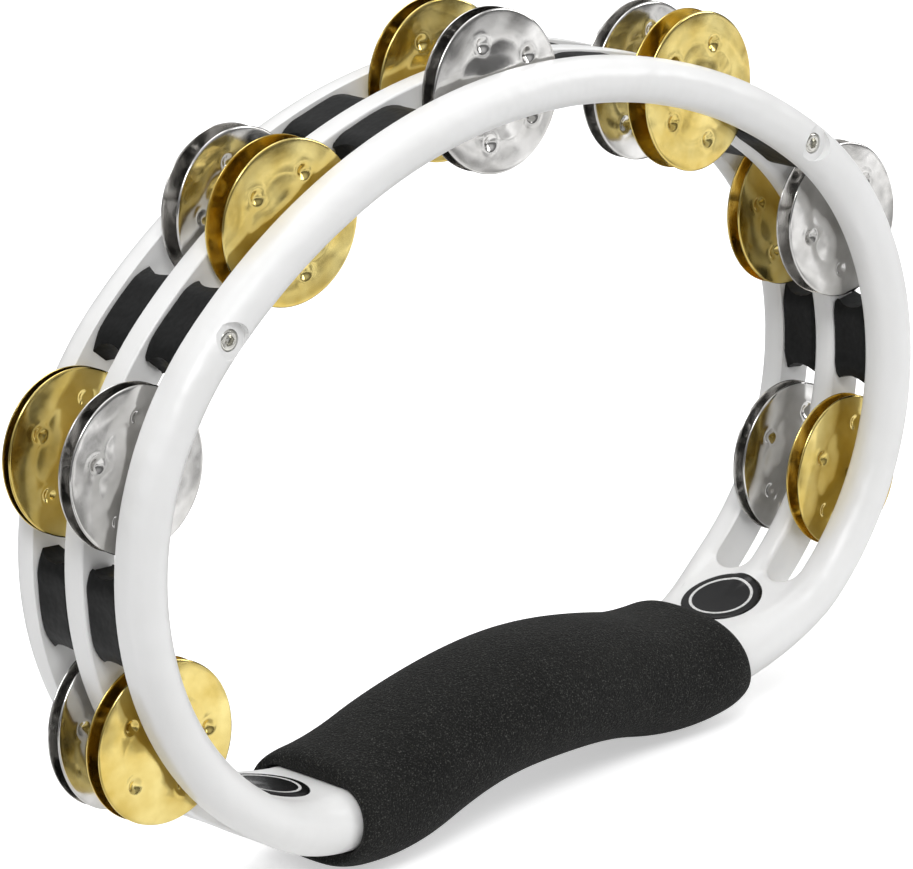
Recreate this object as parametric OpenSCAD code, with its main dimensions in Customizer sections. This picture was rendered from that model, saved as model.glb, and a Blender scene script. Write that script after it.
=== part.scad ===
// Hand-held double-row tambourine with a foam-covered handle.
// The ring stands in the XZ plane, the row axis is Y (front is -Y) and
// the origin is the centre of the grip.

/* [Ring outline] */
// Radius of the large side arcs of the rim centreline
side_r = 71; // [68:0.5:74]
// Angle swept by each side arc
side_a = 111; // [109:0.5:113]
// Radius of the lower corner arcs, which lead into the handle
corner_r = 61; // [58:0.5:64]
// Angle swept by each lower corner arc
corner_a = 45.5; // [44:0.5:47]
// Radius of the inward bow of the handle
bow_r = 130; // [122:1:138]
// Half angle of the inward bow
bow_a = 16.5; // [15.5:0.5:17.5]

/* [Rims] */
// Radial thickness of all three rims
rim_t = 10.7; // [9.8:0.1:11.6]
// Axial depth of the front rim and of the back rim
outer_w = 9.15; // [8.4:0.05:10]
// Axial depth of the middle rim
middle_w = 6.3; // [5.6:0.1:7]
// Clear gap between two rims, which holds one row of jingles
row_gap = 10.7; // [10.2:0.1:11.6]
// Edge radius of the flat faces that look into the rows
edge_r = 1.2; // [0.8:0.1:1.6]

/* [Handle] */
// Distance along the centreline from the handle's middle to the end of the slots
web_len = 96; // [94:1:98]
// Half length of the foam grip along the centreline
grip_len = 64.5; // [60:0.5:67]
// Depth of the white core inside the grip
core_w = 36; // [34:1:38]
// Thickness of the white core inside the grip
core_t = 15; // [13:0.5:16]
// Depth of the foam grip
foam_w = 41; // [40.5:0.5:43]
// Thickness of the foam grip
foam_t = 29.6; // [28:0.2:33]

/* [Jingles] */
// Distance between neighbouring jingle stations along the centreline
pitch = 67; // [66:0.5:68]
// Outer diameter of a jingle
jingle_d = 38; // [36:0.5:39]
// Diameter of the raised cup in the middle of a jingle
cup_d = 22.5; // [20:0.5:24]
// Height of a jingle from its rim plane to the top of its cup
jingle_h = 2.2; // [1.8:0.1:2.4]
// Sheet thickness of a jingle
sheet = 0.5; // [0.4:0.05:0.6]
// Diameter of the jingle pins
pin_d = 2; // [1.8:0.1:2.4]
// Radial clearance of a jingle on its pin
pin_play = 0.1; // [0.05:0.01:0.1]
// Depth of the blind pin sockets in the front and back rims
socket = 5; // [4:0.5:6]

/* [Spacers and fasteners] */
// Length of a rubber spacer along the rim
spacer_len = 23; // [20:0.5:24]
// Radial thickness of a spacer
spacer_t = 9.2; // [8:0.1:9.6]
// Diameter of the locating pegs of the spacers
peg_d = 4.4; // [4:0.1:5]
// Screw shank diameter
screw_d = 3; // [2.8:0.1:3.2]
// Screw head diameter
head_d = 4.8; // [4.6:0.1:5.2]
// Diameter of the oval badges across the handle
badge_w = 21.5; // [18:0.5:22]

/* [Hidden] */
$fn = 96;

WHITE = [0.93, 0.93, 0.92];
RUBBER = [0.10, 0.10, 0.10];
FOAM = [0.14, 0.14, 0.13];
BRASS = [0.83, 0.66, 0.26];
STEEL = [0.78, 0.78, 0.78];

// Y of the middle of the front row, the pitch of the rows and the whole half depth
row_y = (middle_w + row_gap) / 2;
half_w = middle_w / 2 + row_gap + outer_w;

// Outline: heading angles where the arcs meet, counted from the top of the ring
top_a = 180 + bow_a - corner_a - side_a;
a2 = top_a + side_a;
function dir(a) = [sin(a), cos(a)];
p4 = [bow_r * sin(bow_a), -bow_r * (1 - cos(bow_a))];
c3 = p4 + corner_r * [sin(bow_a), cos(bow_a)];
c2 = c3 + (corner_r - side_r) * dir(a2);
top_r = side_r + c2[0] / sin(top_a);
c1 = c2 + (side_r - top_r) * dir(top_a);
// Lengths of the arcs, from the top down
len1 = top_r * top_a * PI / 180;
len2 = side_r * side_a * PI / 180;
len3 = corner_r * corner_a * PI / 180;
len4 = bow_r * bow_a * PI / 180;

// Point and heading [x, z, a] at distance s along the right half, from the top
function at(s) =
  s < len1 ? let (a = s / top_r * 180 / PI) concat(c1 + top_r * dir(a), [a]) :
  s < len1 + len2 ? let (a = top_a + (s - len1) / side_r * 180 / PI) concat(c2 + side_r * dir(a), [a]) :
  s < len1 + len2 + len3 ? let (a = a2 + (s - len1 - len2) / corner_r * 180 / PI) concat(c3 + corner_r * dir(a), [a]) :
  let (b = bow_a - (s - len1 - len2 - len3) / bow_r * 180 / PI) [bow_r * sin(b), -bow_r * (1 - cos(b)), 180 + b];
total = len1 + len2 + len3 + len4;
// The same at distance u from the middle of the handle, negative on the left
function low(u) = let (p = at(total - abs(u))) u < 0 ? [-p[0], p[1], -p[2]] : p;
web_a = at(total - web_len)[2];

// Places a child at signed distance s from the top: child +Z points out of the
// ring, child +X runs along the rim and child Y stays Y
module on_rim(s) {
  p = at(abs(s));
  a = s < 0 ? -p[2] : p[2];
  translate([s < 0 ? -p[0] : p[0], 0, p[1]]) rotate([0, a, 0]) children();
}

// One arc of a rim: centre c, radius r, headings a to b, child section drawn
// with x radial from the centreline and y axial
module arc(c, r, a, b) {
  translate([c[0], 0, c[1]]) rotate([90, 0, 0]) rotate([0, 0, 90 - b])
    rotate_extrude(angle = b - a, $fn = 180) translate([r, 0]) children();
}

// The ring from slot end to slot end, child section as in arc()
module ring() {
  arc(c1, top_r, -top_a, top_a) children();
  for (m = [0, 1]) mirror([m, 0, 0]) arc(c2, side_r, top_a, web_a) children();
}
// Core that ties the arcs of a rim together where they meet
module tie(y, w, t) for (m = [-1, 1], l = [len1, total - web_len]) on_rim(m * l) translate([0, y, 0]) cube([2, w, t], center = true);

// Section of the front rim: round outside, flat towards the jingles.
// The axial coordinate is counted towards the front.
module outer_section() {
  y0 = middle_w / 2 + row_gap;
  r = rim_t / 2;
  intersection() {
    translate([0, half_w - r]) circle(r);
    translate([-r - 1, half_w - r - 0.5]) square([rim_t + 2, r + 2]);
  }
  translate([-r, y0 + edge_r]) square([rim_t, outer_w - r - edge_r]);
  translate([-r + edge_r, y0]) square([rim_t - 2 * edge_r, outer_w - r]);
  for (m = [-1, 1]) translate([m * (r - edge_r), y0 + edge_r]) circle(edge_r, $fn = 48);
}

module middle_section() {
  r = rim_t / 2;
  e = 2 * edge_r;
  translate([-r, -middle_w / 2 + e]) square([rim_t, middle_w - 2 * e]);
  translate([-r + e, -middle_w / 2]) square([rim_t - 2 * e, middle_w]);
  for (m = [-1, 1], n = [-1, 1]) translate([m * (r - e), n * (middle_w / 2 - e)]) circle(e, $fn = 48);
}

// Depth and thickness of the white web at distance u from the handle's middle
function blend(u) = let (k = min(1, max(0, (abs(u) - grip_len + 4) / (web_len - grip_len + 4)))) k * k * (3 - 2 * k);
function web_w(u) = core_w + (2 * half_w + 0.2 - core_w) * blend(u);
function web_t(u) = core_t + (rim_t + 0.2 - core_t) * blend(u);

// Point of a section at u: v across the ring's depth, w out of the ring
function place(u, v, w) = let (p = low(u)) [p[0] + w * sin(p[2]), v, p[1] + w * cos(p[2])];

// Skin of a row of closed rings of points, with flat ends
module skin(rings) {
  n = len(rings[0]);
  m = len(rings);
  polyhedron(
    points = [for (r = rings) each r],
    faces = concat(
      [[for (i = [0 : n - 1]) i]],
      [[for (i = [n - 1 : -1 : 0]) (m - 1) * n + i]],
      [for (j = [0 : m - 2], i = [0 : n - 1]) each [
        [j * n + i, (j + 1) * n + i, j * n + (i + 1) % n],
        [j * n + (i + 1) % n, (j + 1) * n + i, (j + 1) * n + (i + 1) % n]]]));
}

web_steps = [for (i = [-24 : 24]) i / 24 * web_len];
// Front share of the web and core: from the middle rim's face to the rounded front
function half_ring(u) = let (w = web_w(u) / 2, t = web_t(u) / 2)
  concat([place(u, -middle_w / 2, -t)],
    [for (i = [0 : 10]) let (q = -90 + 18 * i) place(u, -(w - t) - t * cos(q), t * sin(q))],
    [place(u, -middle_w / 2, t)]);

module front_web() skin([for (u = web_steps) half_ring(u)]);

// Flat outline of the middle rim's share of the web and core
module middle_web() {
  rotate([90, 0, 0]) linear_extrude(middle_w, center = true) polygon(concat(
    [for (u = web_steps) let (p = place(u, 0, web_t(u) / 2)) [p[0], p[2]]],
    [for (i = [48 : -1 : 0]) let (u = web_steps[i], p = place(u, 0, -web_t(u) / 2)) [p[0], p[2]]]));
}

// Cylinder along Y on the rim at signed distance s, from y to y + l
module along_y(s, y, l, d) on_rim(s) translate([0, y, 0]) rotate([-90, 0, 0]) cylinder(h = l, d = d);

stations = [for (k = [-3 : 3]) k * pitch];
spacer_s = [for (k = [-2.5 : 1 : 2.5]) k * pitch];
screw_s = [-1.5 * pitch, 1.5 * pitch];
peg_s = [-2.5 * pitch, -0.5 * pitch, 0.5 * pitch, 2.5 * pitch];
peg_l = middle_w / 2 - 0.05;
screw_u = [-38, 38];

module handle_along_y(u, y, l, d) on_rim((u < 0 ? -1 : 1) * (total - abs(u))) translate([0, y, 0]) rotate([-90, 0, 0]) cylinder(h = l, d = d);

// Material of the front shell before holes; the back shell is its mirror
module shell() {
  ring() outer_section();
  tie(-half_w + rim_t / 2, rim_t / 2, rim_t / 2);
  front_web();
}

module shell_holes() {
  for (s = stations) along_y(s, -half_w + outer_w - socket, socket + 1, pin_d + 0.1);
  // Blind holes for the pegs of the spacers
  for (s = peg_s) along_y(s, -half_w + outer_w - peg_l - 0.2, peg_l + 1.2, peg_d + 0.1);
  // Round ends of the two jingle slots
  for (m = [-1, 1]) on_rim(m * (total - web_len)) translate([0, -row_y, 0]) cylinder(h = 40, d = row_gap - 0.02, center = true);
}

module front_rim() color(WHITE) difference() {
  shell();
  shell_holes();
  for (s = screw_s) {
    along_y(s, -half_w - 1, 50, screw_d + 0.1);
    along_y(s, -half_w - 1, 5, head_d + 0.3);
    along_y(s, -half_w - 1, 3, 8.6);
  }
  for (u = screw_u) {
    handle_along_y(u, -half_w - 1, 50, screw_d + 0.1);
    handle_along_y(u, -half_w - 1, half_w - core_w / 2 + 4, head_d + 0.3);
  }
  for (m = [0, 1]) mirror([m, 0, 0]) badge_pocket();
}

module back_rim() color(WHITE) difference() {
  mirror([0, 1, 0]) difference() {
    shell();
    shell_holes();
  }
  // Blind pilot holes for the screws
  for (s = screw_s) along_y(s, 0, half_w - 3.2, screw_d + 0.06);
  for (u = screw_u) handle_along_y(u, 0, core_w / 2 - 3, screw_d + 0.06);
  for (m = [0, 1]) mirror([m, 0, 0]) badge_pocket();
}

module middle_rim() color(WHITE) difference() {
  union() {
    ring() middle_section();
    tie(0, middle_w - 2, rim_t - 4);
    middle_web();
  }
  for (s = stations) along_y(s, -10, 20, pin_d + 0.1);
  for (s = peg_s) along_y(s, -10, 20, peg_d + 0.1);
  for (s = screw_s) along_y(s, -10, 20, screw_d + 0.1);
  for (u = screw_u) handle_along_y(u, -10, 20, screw_d + 0.1);
  for (m = [0, 1]) mirror([m, 0, 0]) badge_pocket();
}

// Badge: a thin curved disc let into the inner face of the web, which it
// follows on the circle through three points of that face
badge_u = 79;
function face(u) = let (p = place(u, 0, -web_t(u) / 2)) [p[0], p[2]];
function mid3(a, b, c) = let (
    d = 2 * (a[0] * (b[1] - c[1]) + b[0] * (c[1] - a[1]) + c[0] * (a[1] - b[1])),
    qa = a * a, qb = b * b, qc = c * c)
  [(qa * (b[1] - c[1]) + qb * (c[1] - a[1]) + qc * (a[1] - b[1])) / d,
   (qa * (c[0] - b[0]) + qb * (a[0] - c[0]) + qc * (b[0] - a[0])) / d];
badge_c = mid3(face(badge_u - 10), face(badge_u), face(badge_u + 10));
badge_r = norm(face(badge_u) - badge_c);
module badge_body(d, t0, t1) {
  a = atan2(face(badge_u)[0] - badge_c[0], face(badge_u)[1] - badge_c[1]);
  intersection() {
    arc(badge_c, badge_r, a - 20, a + 20) translate([-t0, -20]) square([t0 + t1, 40]);
    translate([badge_c[0], 0, badge_c[1]]) rotate([0, a, 0]) translate([0, 0, badge_r - 12]) cylinder(h = 20, d = d);
  }
}
module badge_pocket() badge_body(badge_w + 0.2, 3, 0.6);
module right_badge() color(RUBBER) badge_body(badge_w, 0.3, 0.6);
module left_badge() color(RUBBER) mirror([1, 0, 0]) badge_body(badge_w, 0.3, 0.6);

// Foam sleeve: rounded ends, an oval hole that clears the core
foam_steps = [for (i = [0 : 26]) let (k = -cos(i * 180 / 26)) k * grip_len];
function foam_end(u) = let (d = grip_len - abs(u), r = 7) d < r ? sqrt(max(0, 1 - pow(1 - d / r, 2))) : 1;
function foam_ring(u, k) = let (
    e = foam_end(u),
    w = k == 0 ? web_w(u) / 2 + 0.4 : web_w(u) / 2 + 0.9 + (foam_w / 2 - web_w(u) / 2 - 0.9) * e,
    t = k == 0 ? web_t(u) / 2 + 0.4 : web_t(u) / 2 + 0.9 + (foam_t / 2 * (1 - 0.11 * pow(abs(u) / grip_len, 4)) - web_t(u) / 2 - 0.9) * e,
    r = k == 0 ? t : min(w, t))
  [for (i = [0 : 27]) let (q = 360 / 28 * i, y = cos(q), z = sin(q))
    k == 0 ? place(u, (abs(y) < 0.001 ? 0 : sign(y) * (w - t)) + t * y, t * z)
           : place(u, w * sign(y) * pow(abs(y), 0.86), t * sign(z) * pow(abs(z), 0.86))];

module foam_grip() color(FOAM) {
  n = 28;
  m = len(foam_steps);
  pts = concat([for (u = foam_steps) each foam_ring(u, 1)], [for (u = foam_steps) each foam_ring(u, 0)]);
  o = m * n;
  polyhedron(points = pts, faces = concat(
    [for (j = [0 : m - 2], i = [0 : n - 1]) let (k = (i + 1) % n) each [
      [j * n + i, (j + 1) * n + i, j * n + k],
      [j * n + k, (j + 1) * n + i, (j + 1) * n + k],
      [o + j * n + i, o + j * n + k, o + (j + 1) * n + i],
      [o + j * n + k, o + (j + 1) * n + k, o + (j + 1) * n + i]]],
    [for (i = [0 : n - 1]) let (k = (i + 1) % n) each [
      [i, k, o + i], [k, o + k, o + i],
      [(m - 1) * n + i, o + (m - 1) * n + i, (m - 1) * n + k],
      [(m - 1) * n + k, o + (m - 1) * n + i, o + (m - 1) * n + k]]]));
}

// Rubber spacer at station s: y0 is the middle of its gap, r the rim's local
// radius. It has either a bore for a screw or a peg that keys it to both rims.
module spacer(s, y0, r, bored) color(RUBBER) on_rim(s) {
  h = spacer_len / 2 / r * 180 / PI;
  difference() {
    translate([0, y0, -r]) rotate([90, 0, 0]) rotate([0, 0, 90 - h])
      rotate_extrude(angle = 2 * h, $fn = 180) translate([r, 0]) spacer_section();
    // Hollow ends that clear the jingles
    for (m = [-1, 1]) translate([m * (spacer_len / 2 + 5.2), y0, 0]) cylinder(h = 40, r = 7.2, center = true);
    if (bored) translate([0, y0, 0]) rotate([90, 0, 0]) cylinder(h = 30, d = screw_d + 0.1, center = true);
  }
  if (!bored) translate([0, y0, 0]) rotate([90, 0, 0]) cylinder(h = row_gap + 2 * peg_l, d = peg_d, center = true);
}
module spacer_section() {
  r = spacer_t / 2;
  e = 1;
  w = row_gap - 0.02;
  translate([-r, -w / 2 + e]) square([spacer_t, w - 2 * e]);
  translate([-r + e, -w / 2]) square([spacer_t - 2 * e, w]);
  for (m = [-1, 1], n = [-1, 1]) translate([m * (r - e), n * (w / 2 - e)]) circle(e, $fn = 32);
}
function bored(k) = k == 1 || k == 4;
function bend(k) = [side_r, 2 / (1 / side_r + 1 / top_r), top_r, top_r, 2 / (1 / side_r + 1 / top_r), side_r][k];
module front_spacer(k) spacer(spacer_s[k], -row_y, bend(k), bored(k));
module rear_spacer(k) spacer(spacer_s[k], row_y, bend(k), bored(k));

// Button-head screw along Y: head front face at y0, shank length l
module screw(y0, l, deep) {
  difference() {
    union() {
      translate([0, y0 + 0.8, 0]) rotate([-90, 0, 0]) cylinder(h = deep - 0.8, d = head_d);
      translate([0, y0, 0]) rotate([-90, 0, 0]) cylinder(h = 0.8, d1 = head_d - 1.2, d2 = head_d);
      translate([0, y0 + deep, 0]) rotate([-90, 0, 0]) cylinder(h = l, d = screw_d);
    }
    translate([0, y0 - 1, 0]) rotate([-90, 0, 0]) cylinder(h = 2.4, d = 2.3, $fn = 6);
  }
}
module rim_screws() color(STEEL)
  for (s = screw_s) on_rim(s) screw(-half_w + 2, 2 * half_w - 8, 1.8);
module handle_screws() color(STEEL)
  for (u = screw_u) on_rim((u < 0 ? -1 : 1) * (total - abs(u))) screw(-core_w / 2 + 0.8, core_w - 6.6, 2.2);

// Pin at station k: carries both rows, ends in the blind sockets
module pin(k) color(STEEL) {
  l = half_w - outer_w + socket - 0.2;
  along_y(stations[k], -l, 2 * l, pin_d);
}

// Jingle: thin sheet with a raised cup, cup towards -Y, rim plane at y = 0
module jingle_solid() {
  r = cup_d / 2;
  h = jingle_h - sheet;
  b = (r * r + h * h) / (2 * h);
  bo = b + sheet / 2;
  rotate([90, 0, 0]) rotate_extrude() difference() {
    union() {
      square([jingle_d / 2, sheet]);
      intersection() {
        translate([0, jingle_h - bo]) circle(bo, $fn = 180);
        square([jingle_d / 2 - 2, jingle_h + 1]);
      }
    }
    intersection() {
      translate([0, jingle_h - sheet - b]) circle(b, $fn = 180);
      translate([0, -1]) square([jingle_d / 2 - 2, jingle_h + 2]);
    }
    translate([-1, -1]) square([1 + pin_d / 2 + pin_play, jingle_h + 3]);
  }
}
// Rest place of each disc's rim plane along its pin, from the middle of the row:
// one value per station, for the front disc (a) and the rear disc (b) of a pair
front_a = [-1.4, -2.5, -2.8, -2.5, -2.8, -1.3, -1.2];
front_b = [2.4, 1.2, 2.8, 1.1, 2.8, 2.8, 2.1];
rear_a = [-2.2, 0.9, -2.8, -1.9, -2.4, -0.5, -0.3];
rear_b = [0.9, 2.8, 2.1, 1.9, 1.0, 2.8, 2.8];
module jingle(k, row, side, o) on_rim(stations[k])
  translate([0, row * row_y + o, 0])
    mirror([0, side > 0 ? 1 : 0, 0]) jingle_solid();
module front_brass(k, side) color(BRASS) jingle(k, -1, side, side < 0 ? front_a[k] : front_b[k]);
module front_steel(k, side) color(STEEL) jingle(k, -1, side, side < 0 ? front_a[k] : front_b[k]);
module rear_brass(k, side) color(BRASS) jingle(k, 1, side, side < 0 ? rear_a[k] : rear_b[k]);
module rear_steel(k, side) color(STEEL) jingle(k, 1, side, side < 0 ? rear_a[k] : rear_b[k]);

front_rim();
middle_rim();
back_rim();
foam_grip();
left_badge();
right_badge();
rim_screws();
handle_screws();
front_spacer(0);  // front_spacer_1
front_spacer(1);  // front_spacer_2
front_spacer(2);  // front_spacer_3
front_spacer(3);  // front_spacer_4
front_spacer(4);  // front_spacer_5
front_spacer(5);  // front_spacer_6
rear_spacer(0);  // rear_spacer_1
rear_spacer(1);  // rear_spacer_2
rear_spacer(2);  // rear_spacer_3
rear_spacer(3);  // rear_spacer_4
rear_spacer(4);  // rear_spacer_5
rear_spacer(5);  // rear_spacer_6
pin(0);  // pin_1
pin(1);  // pin_2
pin(2);  // pin_3
pin(3);  // pin_4
pin(4);  // pin_5
pin(5);  // pin_6
pin(6);  // pin_7
front_brass(0, -1);  // front_jingle_1a
front_brass(0, 1);  // front_jingle_1b
front_steel(1, -1);  // front_jingle_2a
front_steel(1, 1);  // front_jingle_2b
front_brass(2, -1);  // front_jingle_3a
front_brass(2, 1);  // front_jingle_3b
front_steel(3, -1);  // front_jingle_4a
front_steel(3, 1);  // front_jingle_4b
front_brass(4, -1);  // front_jingle_5a
front_brass(4, 1);  // front_jingle_5b
front_steel(5, -1);  // front_jingle_6a
front_steel(5, 1);  // front_jingle_6b
front_brass(6, -1);  // front_jingle_7a
front_brass(6, 1);  // front_jingle_7b
rear_steel(0, -1);  // rear_jingle_1a
rear_steel(0, 1);  // rear_jingle_1b
rear_brass(1, -1);  // rear_jingle_2a
rear_brass(1, 1);  // rear_jingle_2b
rear_steel(2, -1);  // rear_jingle_3a
rear_steel(2, 1);  // rear_jingle_3b
rear_brass(3, -1);  // rear_jingle_4a
rear_brass(3, 1);  // rear_jingle_4b
rear_steel(4, -1);  // rear_jingle_5a
rear_steel(4, 1);  // rear_jingle_5b
rear_brass(5, -1);  // rear_jingle_6a
rear_brass(5, 1);  // rear_jingle_6b
rear_steel(6, -1);  // rear_jingle_7a
rear_steel(6, 1);  // rear_jingle_7b
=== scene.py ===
import math
import random

import bpy
import bmesh
import numpy as np
from mathutils import Matrix, Vector
from mathutils.geometry import delaunay_2d_cdt


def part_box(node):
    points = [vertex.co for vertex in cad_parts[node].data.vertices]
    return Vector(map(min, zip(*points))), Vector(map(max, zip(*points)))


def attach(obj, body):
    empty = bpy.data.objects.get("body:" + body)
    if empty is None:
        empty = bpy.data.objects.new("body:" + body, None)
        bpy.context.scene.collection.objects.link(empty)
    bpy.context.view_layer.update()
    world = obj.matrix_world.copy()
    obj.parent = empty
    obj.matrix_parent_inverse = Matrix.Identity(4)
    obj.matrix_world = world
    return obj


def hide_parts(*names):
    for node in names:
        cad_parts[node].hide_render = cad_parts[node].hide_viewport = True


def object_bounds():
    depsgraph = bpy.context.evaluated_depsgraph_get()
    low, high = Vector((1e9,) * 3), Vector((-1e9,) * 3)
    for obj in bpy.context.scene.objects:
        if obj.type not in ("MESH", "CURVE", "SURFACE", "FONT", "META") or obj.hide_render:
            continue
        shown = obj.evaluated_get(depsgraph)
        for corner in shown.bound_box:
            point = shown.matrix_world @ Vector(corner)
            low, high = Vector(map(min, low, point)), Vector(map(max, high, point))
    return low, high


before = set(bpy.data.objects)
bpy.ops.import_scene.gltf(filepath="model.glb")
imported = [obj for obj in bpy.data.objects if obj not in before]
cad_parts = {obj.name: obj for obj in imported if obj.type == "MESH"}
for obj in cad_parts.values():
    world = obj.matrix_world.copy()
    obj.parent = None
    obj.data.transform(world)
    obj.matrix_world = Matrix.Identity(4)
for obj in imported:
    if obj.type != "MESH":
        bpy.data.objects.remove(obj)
cad_lo, cad_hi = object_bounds()
MM = 0.001
random.seed(7)
scene = bpy.context.scene

# ---------------------------------------------------------------- outline
# The same tangent-arc outline as the CAD's, in millimetres.
SIDE_R, SIDE_A, CORNER_R, CORNER_A, BOW_R, BOW_A = 71.0, 111.0, 61.0, 45.5, 130.0, 16.5
RIM_T, OUTER_W, MIDDLE_W, GAP = 10.7, 9.15, 6.3, 10.7
WEB, GRIP, CORE_W, CORE_T, FOAM_W, FOAM_T = 96.0, 64.5, 36.0, 15.0, 41.0, 29.6
ROW_Y = (MIDDLE_W + GAP) / 2
HALF_W = MIDDLE_W / 2 + GAP + OUTER_W
PITCH = 67.0
rad = math.radians


def _dir(a):
    return np.array([math.sin(rad(a)), math.cos(rad(a))])


TOP_A = 180 + BOW_A - CORNER_A - SIDE_A
A2 = TOP_A + SIDE_A
_p4 = np.array([BOW_R * math.sin(rad(BOW_A)), -BOW_R * (1 - math.cos(rad(BOW_A)))])
_c3 = _p4 + CORNER_R * _dir(BOW_A)
_c2 = _c3 + (CORNER_R - SIDE_R) * _dir(A2)
TOP_R = SIDE_R + _c2[0] / math.sin(rad(TOP_A))
_c1 = _c2 + (SIDE_R - TOP_R) * _dir(TOP_A)
L1, L2, L3, L4 = (
    TOP_R * rad(TOP_A),
    SIDE_R * rad(SIDE_A),
    CORNER_R * rad(CORNER_A),
    BOW_R * rad(BOW_A),
)
TOTAL = L1 + L2 + L3 + L4
S0 = TOTAL - WEB


def at(s):
    """x, z and heading in radians at signed distance s from the top."""
    q = abs(s)
    if q < L1:
        a = q / TOP_R
        p = _c1 + TOP_R * np.array([math.sin(a), math.cos(a)])
    elif q < L1 + L2:
        a = rad(TOP_A) + (q - L1) / SIDE_R
        p = _c2 + SIDE_R * np.array([math.sin(a), math.cos(a)])
    elif q < L1 + L2 + L3:
        a = rad(A2) + (q - L1 - L2) / CORNER_R
        p = _c3 + CORNER_R * np.array([math.sin(a), math.cos(a)])
    else:
        b = rad(BOW_A) - (q - L1 - L2 - L3) / BOW_R
        p = np.array([BOW_R * math.sin(b), -BOW_R * (1 - math.cos(b))])
        a = math.pi + b
    return (p[0], p[1], a) if s >= 0 else (-p[0], p[1], -a)


def place(s, y, w):
    """Point at s along the outline, y across the depth, w out of the ring, in metres."""
    x, z, a = at(s)
    return Vector(
        ((x + w * math.sin(a)) * MM, y * MM, (z + w * math.cos(a)) * MM)
    )


def smooth(k):
    k = min(1.0, max(0.0, k))
    return k * k * (3 - 2 * k)


def blend(u):
    return smooth((u - GRIP + 4) / (WEB - GRIP + 4))


def depth(s):
    """Half depth of the white body across Y at s."""
    u = TOTAL - abs(s)
    return (CORE_W + (2 * HALF_W - CORE_W) * blend(u)) / 2


def thick(s):
    """Half thickness of the white body at s."""
    u = TOTAL - abs(s)
    return (CORE_T + (RIM_T - CORE_T) * blend(u)) / 2


CROWN = {1: 0.2, -1: 0.7}
BACK_CUT = 0.8


def end_y(s, side):
    """Where the flat skin meets the round front (side -1) or back end."""
    return depth(s) - thick(s) - (BACK_CUT if side > 0 else 0.0)


def crown(s, y, sign):
    """How far the skin drops below its middle height towards the slots."""
    u = TOTAL - abs(s)
    c = CROWN[sign] * smooth((u - 76) / 20)
    q = abs(y)
    if q <= MIDDLE_W / 2:
        f = (q / (MIDDLE_W / 2)) ** 2
    elif q <= HALF_W - OUTER_W:
        f = 1.0
    else:
        yb = end_y(s, y)
        f = max(0.0, (yb - q) / max(0.5, yb - (HALF_W - OUTER_W))) ** 2 if q < yb else 0.0
    return c * min(1.0, f)


def skin_w(s, y, sign):
    return sign * (thick(s) - crown(s, y, sign))


# ---------------------------------------------------------------- mesh tools
class Build:
    def __init__(self):
        self.v, self.f = [], []

    def point(self, p):
        self.v.append(tuple(p))
        return len(self.v) - 1

    def grid(self, rows, closed=False, flip=False):
        """Rows of points of equal length, joined by quads."""
        ids = [[self.point(p) for p in r] for r in rows]
        n = len(ids[0])
        for a, b in zip(ids, ids[1:]):
            for i in range(n if closed else n - 1):
                k = (i + 1) % n
                q = (a[i], a[k], b[k], b[i])
                self.f.append(q[::-1] if flip else q)
        return ids

    def fan(self, ring, centre, flip=False):
        c = self.point(centre)
        ids = [self.point(p) for p in ring]
        for i in range(len(ids)):
            k = (i + 1) % len(ids)
            t = (ids[i], ids[k], c)
            self.f.append(t[::-1] if flip else t)

    def object(self, name, merge=2e-6, sharp=40.0, recalc=True):
        me = bpy.data.meshes.new(name)
        me.from_pydata(self.v, [], self.f)
        bm = bmesh.new()
        bm.from_mesh(me)
        bmesh.ops.remove_doubles(bm, verts=bm.verts, dist=merge)
        bmesh.ops.dissolve_degenerate(bm, dist=merge, edges=bm.edges)
        if recalc:
            bmesh.ops.recalc_face_normals(bm, faces=bm.faces)
        bm.to_mesh(me)
        bm.free()
        me.validate()
        me.polygons.foreach_set("use_smooth", [True] * len(me.polygons))
        if sharp:
            me.set_sharp_from_angle(angle=rad(sharp))
        me.update()
        ob = bpy.data.objects.new(name, me)
        scene.collection.objects.link(ob)
        return ob


def arange(a, b, step):
    n = max(1, int(math.ceil(abs(b - a) / step)))
    return [a + (b - a) * i / n for i in range(n + 1)]


# ---------------------------------------------------------------- materials
def material(name):
    m = bpy.data.materials.new(name)
    m.use_nodes = True
    nt = m.node_tree
    nt.nodes.clear()
    out = nt.nodes.new("ShaderNodeOutputMaterial")
    p = nt.nodes.new("ShaderNodeBsdfPrincipled")
    nt.links.new(p.outputs[0], out.inputs[0])
    return m, nt, p


def node(nt, kind, **inputs):
    n = nt.nodes.new(kind)
    for k, v in inputs.items():
        n.inputs[k.replace("_", " ")].default_value = v
    return n


def coords(nt, scale=1000.0):
    """Object coordinates in millimetres."""
    t = nt.nodes.new("ShaderNodeTexCoord")
    m = nt.nodes.new("ShaderNodeMapping")
    m.inputs["Scale"].default_value = (scale, scale, scale)
    nt.links.new(t.outputs["Object"], m.inputs["Vector"])
    return m.outputs[0]


def noise(nt, vec, scale, detail=3.0, rough=0.55, distortion=0.0):
    n = node(nt, "ShaderNodeTexNoise", Scale=scale, Detail=detail, Roughness=rough, Distortion=distortion)
    nt.links.new(vec, n.inputs["Vector"])
    return n.outputs["Fac"]


def ramp(nt, fac, stops):
    r = nt.nodes.new("ShaderNodeValToRGB")
    els = r.color_ramp.elements
    while len(els) < len(stops):
        els.new(0.5)
    for e, (pos, col) in zip(els, stops):
        e.position = pos
        e.color = (*col, 1) if len(col) == 3 else col
    nt.links.new(fac, r.inputs[0])
    return r.outputs[0]


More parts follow.
